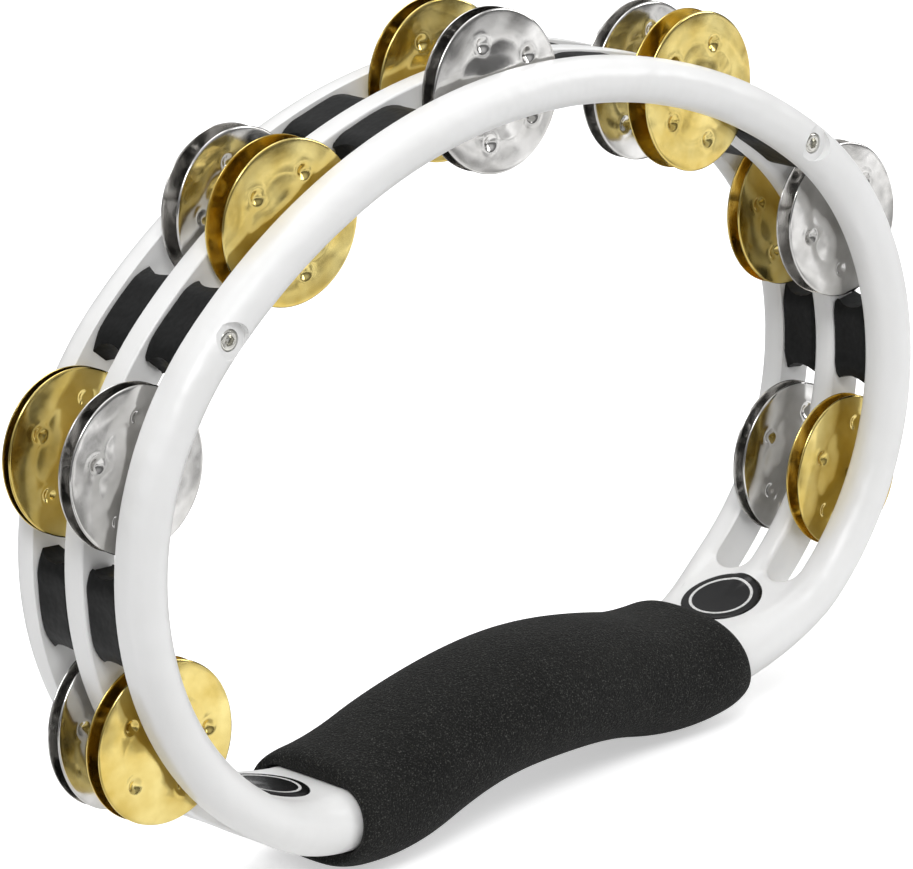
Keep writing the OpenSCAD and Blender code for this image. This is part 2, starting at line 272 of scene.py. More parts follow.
def span(nt, fac, a, b, lo=0.0, hi=1.0):
    m = nt.nodes.new("ShaderNodeMapRange")
    for k, v in zip(("From Min", "From Max", "To Min", "To Max"), (lo, hi, a, b)):
        m.inputs[k].default_value = v
    nt.links.new(fac, m.inputs["Value"])
    return m.outputs[0]


def bump(nt, height, strength, distance, normal=None):
    b = node(nt, "ShaderNodeBump", Strength=strength, Distance=distance)
    nt.links.new(height, b.inputs["Height"])
    if normal is not None:
        nt.links.new(normal, b.inputs["Normal"])
    return b.outputs[0]


def white_abs():
    m, nt, p = material("white_abs_plastic")
    v = coords(nt)
    broad = noise(nt, v, 0.035, 2.0)
    fine = noise(nt, v, 1.6, 4.0)
    col = ramp(nt, broad, [(0.3, (0.775, 0.775, 0.765)), (0.7, (0.815, 0.815, 0.81))])
    nt.links.new(col, p.inputs["Base Color"])
    nt.links.new(span(nt, noise(nt, v, 0.22, 4.0), 0.27, 0.40), p.inputs["Roughness"])
    n1 = bump(nt, noise(nt, v, 0.11, 1.5), 0.55, 0.0012)
    n2 = bump(nt, fine, 0.10, 0.00005, n1)
    nt.links.new(n2, p.inputs["Normal"])
    p.inputs["IOR"].default_value = 1.53
    return m


def foam_mat():
    m, nt, p = material("black_cell_foam")
    v = coords(nt)
    cells = nt.nodes.new("ShaderNodeTexVoronoi")
    cells.inputs["Scale"].default_value = 1.55
    nt.links.new(v, cells.inputs["Vector"])
    speck = noise(nt, v, 2.6, 2.0, 0.7)
    broad = noise(nt, v, 0.06, 3.0)
    base = ramp(nt, broad, [(0.3, (0.0055, 0.0057, 0.0053)), (0.75, (0.0095, 0.0098, 0.0090))])
    dots = ramp(nt, speck, [(0.55, (0, 0, 0)), (0.74, (0.075, 0.075, 0.069))])
    add = nt.nodes.new("ShaderNodeMix")
    add.data_type = "RGBA"
    add.blend_type = "ADD"
    add.inputs["Factor"].default_value = 1.0
    nt.links.new(base, add.inputs["A"])
    nt.links.new(dots, add.inputs["B"])
    nt.links.new(add.outputs["Result"], p.inputs["Base Color"])
    nt.links.new(span(nt, speck, 0.82, 0.98), p.inputs["Roughness"])
    n1 = bump(nt, cells.outputs["Distance"], 0.55, 0.00035)
    n2 = bump(nt, noise(nt, v, 0.5, 3.0), 0.35, 0.0006, n1)
    nt.links.new(n2, p.inputs["Normal"])
    p.inputs["Sheen Weight"].default_value = 0.03
    p.inputs["Sheen Roughness"].default_value = 0.6
    p.inputs["Specular IOR Level"].default_value = 0.14
    return m


def rubber():
    m, nt, p = material("black_rubber")
    v = coords(nt)
    n = noise(nt, v, 0.8, 4.0)
    nt.links.new(ramp(nt, n, [(0.3, (0.0050, 0.0052, 0.0052)), (0.75, (0.0105, 0.0108, 0.0106))]), p.inputs["Base Color"])
    nt.links.new(span(nt, noise(nt, v, 0.35, 3.0), 0.40, 0.54), p.inputs["Roughness"])
    p.inputs["Specular IOR Level"].default_value = 0.16
    nt.links.new(bump(nt, n, 0.16, 0.0002, bump(nt, noise(nt, v, 0.2, 2.0), 0.35, 0.0008)), p.inputs["Normal"])
    return m


def badge_mat():
    m, nt, p = material("gloss_badge")
    v = coords(nt)
    n = noise(nt, v, 0.5, 3.0)
    nt.links.new(ramp(nt, n, [(0.3, (0.0025, 0.0025, 0.0025)), (0.7, (0.0045, 0.0045, 0.0045))]), p.inputs["Base Color"])
    nt.links.new(span(nt, noise(nt, v, 1.2, 3.0), 0.16, 0.26), p.inputs["Roughness"])
    nt.links.new(bump(nt, noise(nt, v, 0.25, 2.0), 0.15, 0.0003), p.inputs["Normal"])
    p.inputs["Coat Weight"].default_value = 0.05
    p.inputs["Specular IOR Level"].default_value = 0.22
    p.inputs["Coat Roughness"].default_value = 0.06
    return m


def badge_print():
    m, nt, p = material("badge_print")
    v = coords(nt)
    n = noise(nt, v, 1.5, 3.0)
    nt.links.new(ramp(nt, n, [(0.3, (0.62, 0.62, 0.61)), (0.7, (0.74, 0.74, 0.73))]), p.inputs["Base Color"])
    nt.links.new(span(nt, n, 0.22, 0.34), p.inputs["Roughness"])
    return m


def metal(name, dark, light, rough, wave, brushed=0.04):
    m, nt, p = material(name)
    v = coords(nt)
    broad = noise(nt, v, 0.09, 3.0)
    fine = noise(nt, v, 0.9, 4.0)
    nt.links.new(ramp(nt, broad, [(0.3, dark), (0.7, light)]), p.inputs["Base Color"])
    nt.links.new(span(nt, fine, rough[0], rough[1], 0.3, 0.75), p.inputs["Roughness"])
    n1 = bump(nt, noise(nt, v, 0.075, 1.0), 0.5, wave)
    n2 = bump(nt, fine, brushed, 0.00003, n1)
    nt.links.new(n2, p.inputs["Normal"])
    p.inputs["Metallic"].default_value = 1.0
    return m


M_WHITE = white_abs()
M_FOAM = foam_mat()
M_RUBBER = rubber()
M_BADGE = badge_mat()
M_PRINT = badge_print()
M_BRASS = metal("brass_sheet_polished", (0.60, 0.43, 0.10), (0.84, 0.70, 0.28), (0.13, 0.22), 0.0019)
M_STEEL = metal("steel_sheet_polished", (0.50, 0.49, 0.47), (0.80, 0.79, 0.775), (0.11, 0.20), 0.0019)
M_PIN = metal("pin_steel", (0.45, 0.44, 0.42), (0.60, 0.59, 0.57), (0.22, 0.36), 0.0003, 0.1)
M_SCREW = metal("screw_nickel", (0.55, 0.54, 0.50), (0.72, 0.71, 0.66), (0.14, 0.26), 0.0003, 0.1)
M_PIN2 = metal("screw_shank", (0.42, 0.41, 0.39), (0.55, 0.54, 0.52), (0.25, 0.40), 0.0003, 0.1)


def dress(ob, *mats):
    ob.data.materials.clear()
    for m in mats:
        ob.data.materials.append(m)
    return ob


def cad_dress(name, mat):
    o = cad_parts[name]
    if not o.material_slots:
        o.data.materials.append(mat)
    for sl in o.material_slots:
        sl.link = "OBJECT"
        sl.material = mat


# ---------------------------------------------------------------- white rims
RY = GAP / 2
EDGE = {("out", 1): 0.4, ("out", -1): 1.0, ("mid", 1): 0.7, ("mid", -1): 1.7}
E_END = 1.2
PSI = 7
PHI = 12
S_WEB = S0 + RY + 9.0


def fillet_point(s, y, nx, ny, e, psi, sign):
    """Edge round of a slot: boundary point (s, y) with direction (nx, ny) into the material.
    psi runs from 0 at the wall to 90 degrees at the skin."""
    d = e * (1 - math.cos(psi))
    m = 1.0 if s >= 0 else -1.0
    s2, y2 = s + m * d * nx, y + d * ny
    w = thick(s2) - e + e * math.sin(psi) - crown(s2, y2, sign) * math.sin(psi)
    return place(s2, y2, sign * w)


def d_end(s, side, n=20):
    """The round outside of the front (side -1) or back rim from the outer to the inner skin."""
    r = thick(s)
    yb = end_y(s, side)
    return [
        place(s, side * (yb + r * math.sin(math.pi * i / n)), r * math.cos(math.pi * i / n))
        for i in range(n + 1)
    ]


SEC = arange(-S0, S0, 2.6)


def slot_edge_rows(y, ny, e, sign):
    rows = []
    for s in SEC:
        rows.append([fillet_point(s, y, 0, ny, e, math.pi / 2 * k / PSI, sign) for k in range(PSI + 1)])
    return rows


def wall_span(s, lo, hi):
    return np.linspace(-(thick(s) - lo), thick(s) - hi, 4)


def wall_rows(y, part):
    return [[place(s, y, w) for w in wall_span(s, EDGE[(part, -1)], EDGE[(part, 1)])] for s in SEC]


def skin_rows(y0, y1, sign, n):
    return [[place(s, y, skin_w(s, y, sign)) for y in np.linspace(y0, y1, n + 1)] for s in SEC]


def outer_ring(b, side):
    yi = side * (HALF_W - OUTER_W)
    ys = side * end_y(0, side)
    b.grid([d_end(s, side) for s in SEC])
    for sign in (-1, 1):
        e = EDGE[("out", sign)]
        b.grid(slot_edge_rows(yi, side, e, sign))
        b.grid(skin_rows(yi + side * e, ys, sign, 4))
    b.grid(wall_rows(yi, "out"))


def middle_ring(b):
    for side in (-1, 1):
        yi = side * MIDDLE_W / 2
        for sign in (-1, 1):
            b.grid(slot_edge_rows(yi, -side, EDGE[("mid", sign)], sign))
        b.grid(wall_rows(yi, "mid"))
    for sign in (-1, 1):
        e = EDGE[("mid", sign)]
        b.grid(skin_rows(-MIDDLE_W / 2 + e, MIDDLE_W / 2 - e, sign, 2))


def end_edge(phi, part, sign):
    """Radius of the edge round along a slot's end; part 'out' or 'mid'."""
    start = EDGE[(part, sign)]
    return start + (E_END - start) * math.sin(phi) ** 2


def slot_end(b, half, row, part):
    """One quarter of a slot's round end with its wall and edge rounds. half +1 right, -1 left."""
    yc = row * ROW_Y
    out = row if part == "out" else -row
    for sign in (-1, 1):
        rows = []
        for i in range(PHI + 1):
            phi = math.pi / 2 * i / PHI
            s = half * (S0 + RY * math.sin(phi))
            y = yc + out * RY * math.cos(phi)
            e = end_edge(phi, part, sign)
            rows.append([
                fillet_point(s, y, math.sin(phi), out * math.cos(phi), e, math.pi / 2 * k / PSI, sign)
                for k in range(PSI + 1)
            ])
        b.grid(rows)
    rows = []
    for i in range(PHI + 1):
        phi = math.pi / 2 * i / PHI
        s = half * (S0 + RY * math.sin(phi))
        y = yc + out * RY * math.cos(phi)
        rows.append([place(s, y, w) for w in wall_span(s, end_edge(phi, part, -1), end_edge(phi, part, 1))])
    b.grid(rows)


def skin_curve(row, part, sign):
    """The line in (s, y) where the edge round of a slot end meets the skin, from the slot's side to its tip."""
    yc = row * ROW_Y
    out = row if part == "out" else -row
    pts = []
    for i in range(PHI + 1):
        phi = math.pi / 2 * i / PHI
        e = end_edge(phi, part, sign)
        pts.append((S0 + (RY + e) * math.sin(phi), yc + out * (RY + e) * math.cos(phi)))
    return pts


WEB_COLS = {"front": 8, "middle": 10, "back": 8}


def web_span(part, s):
    return {"front": (-end_y(s, -1), -ROW_Y), "middle": (-ROW_Y, ROW_Y), "back": (ROW_Y, end_y(s, 1))}[part]


def junction(b, part, half, sign):
    """Skin of the web between the slot ends and S_WEB, on one face."""
    ss = arange(S0, S_WEB, 1.6)
    loop = []
    y0, y1 = web_span(part, S_WEB)
    far = [(S_WEB, y) for y in np.linspace(y0, y1, WEB_COLS[part] + 1)]
    if part == "middle":
        low = skin_curve(-1, "mid", sign)
        high = skin_curve(1, "mid", sign)
        n = 2
        near = [(S0, y) for y in np.linspace(low[0][1], high[0][1], n + 1)]
        tip = low[-1][0]
        seam_lo = [(s, -ROW_Y) for s in arange(tip, S_WEB, 1.6)][1:-1]
        seam_hi = [(s, ROW_Y) for s in arange(tip, S_WEB, 1.6)][1:-1]
        loop = near + high[1:] + seam_hi + far[::-1] + seam_lo[::-1] + low[::-1][:-1]
    else:
        side = -1 if part == "front" else 1
        cur = skin_curve(side, "out", sign)
        tip = cur[-1][0]
        seam = [(s, side * ROW_Y) for s in arange(tip, S_WEB, 1.6)][1:-1]
        ys = side * end_y(0, side)
        near = [(S0, y) for y in np.linspace(ys, cur[0][1], 5)]
        edge = [(s, side * end_y(s, side)) for s in ss][1:-1]
        fr = far if side < 0 else far[::-1]
        loop = near + cur[1:] + seam + fr[::-1] + edge[::-1]
    m = len(loop)
    poly = np.array(loop)

    def inside(p):
        x, y = p
        c = False
        for i in range(m):
            x1, y1_ = poly[i]
            x2, y2_ = poly[(i + 1) % m]
            if (y1_ > y) != (y2_ > y) and x < (x2 - x1) * (y - y1_) / (y2_ - y1_) + x1:
                c = not c
        return c

    def clear(p):
        a = poly
        d = np.roll(poly, -1, 0) - a
        t = np.clip(((np.array(p) - a) * d).sum(1) / (d * d).sum(1), 0, 1)
        return np.hypot(*(a + d * t[:, None] - p).T).min()

    inner = []
    for i, s in enumerate(np.arange(S0 + 0.7, S_WEB, 1.05)):
        for y in np.arange(-HALF_W, HALF_W, 1.2):
            p = (s, y + (0.6 if i % 2 else 0))
            if inside(p) and clear(p) > 0.55:
                inner.append(p)
    pts = loop + inner
    res = delaunay_2d_cdt([Vector(p) for p in pts], [(i, (i + 1) % m) for i in range(m)], [], 0, 1e-7)
    ids = [b.point(place(half * v.x, v.y, skin_w(v.x, v.y, sign))) for v in res[0]]
    for f in res[2]:
        c = sum((res[0][i] for i in f), Vector((0, 0))) / len(f)
        if inside((c.x, c.y)):
            b.f.append(tuple(ids[i] for i in f))


def web(b, part, half):
    ss = arange(S_WEB, TOTAL - GRIP - 1, 2.2) + arange(TOTAL - GRIP - 1, TOTAL, 7.0)[1:]
    for sign in (-1, 1):
        rows = []
        for s in ss:
            y0, y1 = web_span(part, s)
            rows.append([place(half * s, y, skin_w(s, y, sign)) for y in np.linspace(y0, y1, WEB_COLS[part] + 1)])
        b.grid(rows)
    if part != "middle":
        side = -1 if part == "front" else 1
        b.grid([d_end(half * s, side) for s in arange(S0, S_WEB, 1.6) + ss[1:]])
    # Inner faces where the three mouldings meet
    for side in ((-1, 1) if part == "middle" else ((-1,) if part == "front" else (1,))):
        y = side * ROW_Y
        e = E_END
        rows = [[place(half * (S0 + RY), y, w) for w in np.linspace(-(thick(S0 + RY) - e), thick(S0 + RY) - e, 4)]]
        tip = S0 + RY + E_END
        inner = arange(tip, S_WEB, 1.6) + ss[1:]
        zs = []
        for s in inner:
            zs.append([place(half * s, y, w) for w in np.linspace(skin_w(s, y, -1), skin_w(s, y, 1), 4)])
        b.grid(zs)
        # the cap between the slot's wall and the first full section
        lo = [fillet_point(half * (S0 + RY), y, 1, 0, e, math.pi / 2 * k / PSI, -1) for k in range(PSI + 1)]
        hi = [fillet_point(half * (S0 + RY), y, 1, 0, e, math.pi / 2 * k / PSI, 1) for k in range(PSI + 1)]
        wl = [place(half * (S0 + RY), y, w) for w in np.linspace(-(thick(S0 + RY) - e), thick(S0 + RY) - e, 4)]
        end = zs[0]
        ids = [b.point(p) for p in lo[::-1] + wl[1:-1] + hi + end[::-1][1:-1]]
        b.f.append(tuple(ids))


def rim_piece(part, name, nodes):
    b = Build()
    if part == "middle":
        middle_ring(b)
    else:
        outer_ring(b, -1 if part == "front" else 1)
    for half in (-1, 1):
        if part == "middle":
            for row in (-1, 1):
                slot_end(b, half, row, "mid")
        else:
            slot_end(b, half, -1 if part == "front" else 1, "out")
        junction(b, part, half, -1)
        junction(b, part, half, 1)
        web(b, part, half)
    ob = b.object(name, merge=4e-6, sharp=50)
    dress(ob, M_WHITE)
    return ob


def cut(ob, cutters):
    """Exact boolean difference, applied to the mesh."""
    for c in cutters:
        m = ob.modifiers.new("cut", "BOOLEAN")
        m.operation, m.solver, m.object = "DIFFERENCE", "EXACT", c
    dg = bpy.context.evaluated_depsgraph_get()
    me = bpy.data.meshes.new_from_object(ob.evaluated_get(dg))
    ob.modifiers.clear()
    old = ob.data
    ob.data = me
    bpy.data.meshes.remove(old)
    for c in cutters:
        bpy.data.objects.remove(c)
    me.polygons.foreach_set("use_smooth", [True] * len(me.polygons))
    me.set_sharp_from_angle(angle=rad(38))
    return ob


def disc_cutter(s, y0, y1, r, n=96):
    x, z, a = at(s)
    b = Build()
    rings = [[(x * MM + r * MM * math.cos(t), y * MM, z * MM + r * MM * math.sin(t)) for t in np.linspace(0, 2 * math.pi, n, endpoint=False)] for y in (y0, y1)]
    b.grid(rings, closed=True)
    b.fan(rings[0], (x * MM, y0 * MM, z * MM))
    b.fan(rings[1], (x * MM, y1 * MM, z * MM))
    return b.object("cutter", sharp=0)


SCREW_S = (-1.5 * PITCH, 1.5 * PITCH)
front = rim_piece("front", "front_rim_shell", "front_rim")
middle = rim_piece("middle", "middle_rim_shell", "middle_rim")
back = rim_piece("back", "back_rim_shell", "back_rim")
front = cut(front, [c for s in SCREW_S for c in (disc_cutter(s, -HALF_W - 1, -HALF_W + 2.0, 4.3), disc_cutter(s, -HALF_W - 1, -HALF_W + 4.0, 2.55))])
for ob, n in ((front, "front_rim"), (middle, "middle_rim"), (back, "back_rim")):
    dress(ob, M_WHITE)
    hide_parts(n)
    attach(ob, "frame")


# ---------------------------------------------------------------- foam grip
def foam_grip():
    b = Build()
    rng = random.Random(3)
    waves = [(rng.uniform(0.05, 0.16), rng.uniform(0, 6.28), rng.randint(1, 3), rng.uniform(0, 6.28)) for _ in range(7)]
    nq = 96

    def ring(u, e, push=0.0):
        s = TOTAL - abs(u)
        half = 1 if u >= 0 else -1
        w0, t0 = depth(s) + 0.5, thick(s) + 0.5
        k = abs(u) / GRIP
        w1 = FOAM_W / 2 * (1 + 0.012 * math.sin(u * 0.11 + 1))
        t1 = FOAM_T / 2 * (1 - 0.11 * k ** 4) * (1 + 0.015 * math.sin(u * 0.13 + 0.5))
        pts = []
        for i in range(nq):
            q = 2 * math.pi * i / nq
            c, n = math.cos(q), math.sin(q)
            yo = w1 * math.copysign(abs(c) ** 0.86, c)
            zo = t1 * math.copysign(abs(n) ** 0.86, n)
            r = t0
            yi = math.copysign(max(0.0, w0 - t0), c) * min(1, abs(c) * 4) + r * c
            zi = r * n
            d = sum(a * math.sin(f * 0.045 * u + p + g * q) for a, f, g, p in [(w[0], w[1], w[2], w[3]) for w in waves])
            y = yi + (yo - yi) * e
            z = zi + (zo - zi) * e
            f = 1 + d / 100 * e
            pts.append(place(half * s, y * f, z * f))
        return pts

    rows = []
    rr = 5.6
    for half in (-1, 1):
        end = []
        n = 14
        for i in range(n + 1):
            a = math.pi / 2 * i / n
            u = GRIP - rr + rr * math.sin(a)
            e = 1 - 0.42 * (1 - math.cos(a)) ** 1.0
            end.append((u, e))
        # curls in towards the white core
        for k in (0.45, 0.3, 0.12, 0.0):
            end.append((GRIP - (0.58 - k) * 1.1, k))
        rows.append((half, end))
    left = [ring(-u, e) for u, e in rows[0][1]][::-1]
    right = [ring(u, e) for u, e in rows[1][1]]
    mid = [ring(u, 1.0) for u in arange(-(GRIP - rr), GRIP - rr, 1.8)[1:-1]]
    allr = left + mid + right
    b.grid(allr, closed=True)
    # inner wall that hugs the core
    inner = [ring(u, 0.0) for u in arange(GRIP - 0.64, -(GRIP - 0.64), 4.0)]
    b.grid([allr[-1]] + inner[1:-1] + [allr[0]], closed=True)
    ob = b.object("foam_grip_sleeve", sharp=0)
    dress(ob, M_FOAM)
    return ob


foam = foam_grip()
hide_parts("foam_grip")
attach(foam, "frame")


# ---------------------------------------------------------------- rubber spacers
SP_L, SP_T = 23.0, 9.2


def spacer(name, s0, y0, seed):
    b = Build()
    rng = random.Random(seed)
    half_g = GAP / 2 - 0.01
    r = 1.15
    sec = []
    for cx, cy, a0 in ((half_g - r, SP_T / 2 - r, 0), (-(half_g - r), SP_T / 2 - r, 90), (-(half_g - r), -(SP_T / 2 - r), 180), (half_g - r, -(SP_T / 2 - r), 270)):
        arc = [(cx + r * math.cos(rad(a0 + 15 * i)), cy + r * math.sin(rad(a0 + 15 * i))) for i in range(7)]
        if sec:
            px, py = sec[-1]
            for k in (0.2, 0.4, 0.6, 0.8):
                sec.append((px + (arc[0][0] - px) * k, py + (arc[0][1] - py) * k))
        sec += arc
    px, py = sec[-1]
    for k in (0.2, 0.4, 0.6, 0.8):
        sec.append((px + (sec[0][0] - px) * k, py + (sec[0][1] - py) * k))
    ph = rng.uniform(0, 6)

    def hollow(y):
        return max(0.0, math.sqrt(max(0.0, 7.2 ** 2 - y * y)) - 5.0)

    def corner(y):
        """Plan rounding of the corners next to the middle rim."""
        q = -y * math.copysign(1, y0) - (half_g - 3.0)
        return 3.0 - math.sqrt(9.0 - min(9.0, q * q)) if q > 0 else 0.0

    def pt(i, y, w):
        """i from -1 to 1 along the spacer."""
        ln = SP_L / 2 - max(hollow(y), corner(y))
        x = i * ln
        ends = SP_L / 2 - abs(x)
        drop = 0.0
        if ends < 5.6:
            k = 1 - ends / 5.6
            drop = 2.3 * k ** 1.7
        waist = 0.42 * math.cos(i * math.pi / 2) ** 1 * (1 - (y / half_g) ** 2) * 0.9
        w2 = w * (1 - (drop + waist) / (SP_T / 2) * min(1.0, abs(w) / (SP_T / 2)))
        w2 += 0.06 * math.sin(x * 0.5 + ph) * (1 if w > 0 else 0)
        return place(s0 + x, y0 + y, w2)

    rows = []
    ii = [-1, -0.985, -0.955, -0.91, -0.85, -0.77, -0.68, -0.58, -0.46, -0.32, -0.16, 0, 0.16, 0.32, 0.46, 0.58, 0.68, 0.77, 0.85, 0.91, 0.955, 0.985, 1]
    for i in ii:
        rows.append([pt(i, y, w) for y, w in sec])
    b.grid(rows, closed=True)
    for e in (-1, 1):
        caps = [[pt(e, y * k, w * k) for y, w in sec] for k in (1.0, 0.93, 0.75, 0.5, 0.25)]
        b.grid(caps, closed=True)
        b.fan(caps[-1], pt(e, 0, 0))
    ob = b.object(name, sharp=55)
    bv = ob.modifiers.new("soft", "BEVEL")
    bv.width, bv.segments, bv.limit_method, bv.angle_limit = 0.0004, 3, "ANGLE", rad(45)
    dress(ob, M_RUBBER)
    return ob


for k in range(6):
    s0 = (k - 2.5) * PITCH
    for row, word in ((-1, "front"), (1, "rear")):
        n = f"{word}_spacer_{k + 1}"
        sp = spacer(f"{n}_rubber", s0, row * ROW_Y, 10 + k * 2 + (row > 0))
        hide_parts(n)
        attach(sp, "frame")


# ---------------------------------------------------------------- jingles
R_J, SHEET, R_CUP, H_CUP, R_HOLE = 19.0, 0.40, 11.4, 1.70, 1.12
PIT_R, PIT_D = 12.0, 0.74


def jingle_mesh(name, seed, side):
    """A pressed disc: raised cup, five pits, slightly uneven skirt. side -1: cup towards -Y."""
    rng = random.Random(seed)
    rr = [R_HOLE, 1.35, 1.9, 3.0, 4.4, 5.8, 7.0, 8.0, 8.8] + list(np.arange(9.5, 14.6, 0.46)) + [15.2, 16.0, 16.9, 17.7, 18.2, 18.55, 18.8, 18.93, 19.0]
    nt = 160
    warp = [(rng.uniform(-1, 1) * a, n, rng.uniform(0, 6.28)) for n, a in ((2, 0.13), (3, 0.07), (4, 0.04), (5, 0.03))]
    dish = rng.uniform(0.32, 0.5)
    pits = [(PIT_R + rng.uniform(-0.35, 0.35), 2 * math.pi * k / 5 + rng.uniform(-0.05, 0.05), rng.uniform(0.85, 1.1)) for k in range(5)]

    def h(r, t):
        k = min(1.0, r / (R_CUP * (1 - 0.055 * math.cos(5 * t))))
        cup = H_CUP * (1 - k * k) ** 1.15
        skirt = dish * math.sin(math.pi * min(1.0, max(0.0, (r - 8) / (R_J - 8)))) if r > 8 else 0.0
        wv = sum(a * math.cos(n * t + p) for a, n, p in warp) * smooth((r - 6) / 10)
        val = cup + skirt + wv
        if r < 2.2:
            val -= 0.25 * (1 - (r - R_HOLE) / (2.2 - R_HOLE)) ** 2
        for pr, pt, sc in pits:
            d2 = r * r + pr * pr - 2 * r * pr * math.cos(t - pt)
            d = math.sqrt(max(0.0, d2))
            if d < 4.5:
                val -= PIT_D * sc * math.exp(-((d / 1.3) ** 2.6))
                val += 0.15 * math.exp(-(((d - 2.2) / 0.5) ** 2))
        lip = max(0.0, (r - 18.2) / 0.8)
        val -= 0.10 * lip * lip
        return val

    b = Build()
    tt = [2 * math.pi * i / nt for i in range(nt)]
    out = [[(r * math.cos(t) * MM, side * (h(r, t) + SHEET) * MM, r * math.sin(t) * MM) for t in tt] for r in rr[:-1]]
    inn = [[(r * math.cos(t) * MM, side * h(r, t) * MM, r * math.sin(t) * MM) for t in tt] for r in rr[:-1]]
    edge = []
    for a in (60, 20, -20, -60):
        q = rad(a)
        edge.append([((R_J - SHEET / 2 + SHEET / 2 * math.cos(q)) * math.cos(t) * MM, side * (h(R_J, t) + SHEET / 2 + SHEET / 2 * math.sin(q)) * MM, (R_J - SHEET / 2 + SHEET / 2 * math.cos(q)) * math.sin(t) * MM) for t in tt])
    ring = out[:-1] + edge + inn[:-1][::-1]
    b.grid(ring, closed=True)
    b.grid([inn[0], out[0]], closed=True)
    ob = b.object(name, sharp=60)
    me = ob.data
    bpy.data.objects.remove(ob)
    return me


VARIANTS = {(k, side): jingle_mesh(f"jingle_sheet_{k}{'a' if side < 0 else 'b'}", 100 + k * 7 + (side > 0), side) for k in range(4) for side in (-1, 1)}

# Yaw and pitch in degrees of each pair about its pin, and the place of the first pit
YAW = {("front", 1): -1.4, ("front", 2): 0.6, ("front", 3): -3.0, ("front", 4): -1.6, ("front", 5): 3.7, ("front", 6): 1.0, ("front", 7): 3.2,
       ("rear", 1): 0.0, ("rear", 2): -1.0, ("rear", 3): 2.0, ("rear", 4): -2.0, ("rear", 5): 4.0, ("rear", 6): 2.5, ("rear", 7): 2.0}
NOD = {("front", 1): -1.0, ("front", 2): 1.0, ("front", 3): 0.5, ("front", 4): 2.0, ("front", 5): 0.0, ("front", 6): 1.5, ("front", 7): 0.5,
       ("rear", 1): 0.0, ("rear", 2): 2.0, ("rear", 3): 1.0, ("rear", 4): 2.0, ("rear", 5): -1.0, ("rear", 6): 1.0, ("rear", 7): 0.5}
SPIN = {("front", 1): 0.5, ("front", 2): 15.0, ("front", 3): 68.0, ("front", 4): 36.0, ("front", 5): 62.0, ("front", 6): 42.0, ("front", 7): 3.0,
        ("rear", 1): 20.0, ("rear", 2): 3.0, ("rear", 3): 30.0, ("rear", 4): 50.0, ("rear", 5): 10.0, ("rear", 6): 19.0, ("rear", 7): 66.0}

# The lower left rear pair leans about the rim's tangent and its radius
ROCK = {("rear", 1): Matrix.Rotation(rad(-1.0), 4, Vector((-0.875, 0.0, -0.483))) @ Matrix.Rotation(rad(-6.0), 4, Vector((0.483, 0.0, -0.875)))}

for row, word in ((-1, "front"), (1, "rear")):
    for k in range(1, 8):
        brass = (k % 2 == 1) == (row < 0)
        for side, letter in ((-1, "a"), (1, "b")):
            n = f"{word}_jingle_{k}{letter}"
            lo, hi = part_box(n)
            y = hi.y if side < 0 else lo.y
            me = VARIANTS[((k * 3 + (row > 0) * 2 + (side > 0)) % 4, side)].copy()
            me.name = n + "_sheet"
            ob = bpy.data.objects.new(n + "_disc", me)
            scene.collection.objects.link(ob)
            spin = SPIN[(word, k)] if side < 0 else random.uniform(0, 72)
            ob.matrix_world = (
                Matrix.Translation(((lo.x + hi.x) / 2, y, (lo.z + hi.z) / 2))
                @ ROCK.get((word, k), Matrix())
                @ Matrix.Rotation(rad(YAW[(word, k)]), 4, "Z")
                @ Matrix.Rotation(rad(-NOD[(word, k)]), 4, "X")
                @ Matrix.Rotation(rad(-spin), 4, "Y")
            )
            dress(ob, M_BRASS if brass else M_STEEL)
            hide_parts(n)
            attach(ob, n)


# ---------------------------------------------------------------- screws, badges, pins
def screw_head(name, s):
    """Domed head with a hexagon socket, on a plain shank."""
    x, z, a = at(s)
    b = Build()
    n = 72
    y0 = -HALF_W + 2.25
    prof = [(2.4, 1.5), (2.4, 0.2), (2.37, 0.05), (2.26, -0.1), (2.05, -0.22), (1.8, -0.29), (1.58, -0.31)]
    tt = [2 * math.pi * i / n for i in range(n)]

    def P(r, y, t):
        return ((x + r * math.cos(t)) * MM, (y0 + y) * MM, (z + r * math.sin(t)) * MM)

    def hexr(t, r):
        q = (t % (math.pi / 3)) - math.pi / 6
        return r * math.cos(math.pi / 6) / math.cos(q)

    rings = [[P(r, y, t) for t in tt] for r, y in prof]
    for k, y in ((1.44, -0.34), (1.36, -0.26), (1.33, 0.1), (1.30, 0.9)):
        rings.append([P(hexr(t, k), y, t) for t in tt])
    rings.append([P(hexr(t, 0.7), 1.05, t) for t in tt])
    b.grid(rings, closed=True)
    b.fan(rings[-1], P(0, 1.15, 0))
    end = HALF_W - 6.0
    sh = [[P(r, y, t) for t in tt] for r, y in ((2.4, 1.5), (1.5, 1.6), (1.5, end - y0 - 0.8), (1.1, end - y0))]
    b.grid(sh, closed=True)
    b.fan(sh[-1], P(0, end - y0, 0))
    ob = b.object(name, sharp=32)
    dress(ob, M_SCREW)
    return ob


screws = [screw_head("rim_screw_left", SCREW_S[0]), screw_head("rim_screw_right", SCREW_S[1])]
for ob in screws:
    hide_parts("rim_screws")
    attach(ob, "frame")
cad_dress("handle_screws", M_PIN2)
for k in range(1, 8):
    cad_dress(f"pin_{k}", M_PIN)

BADGE_U, BADGE_D = 79.0, 21.5


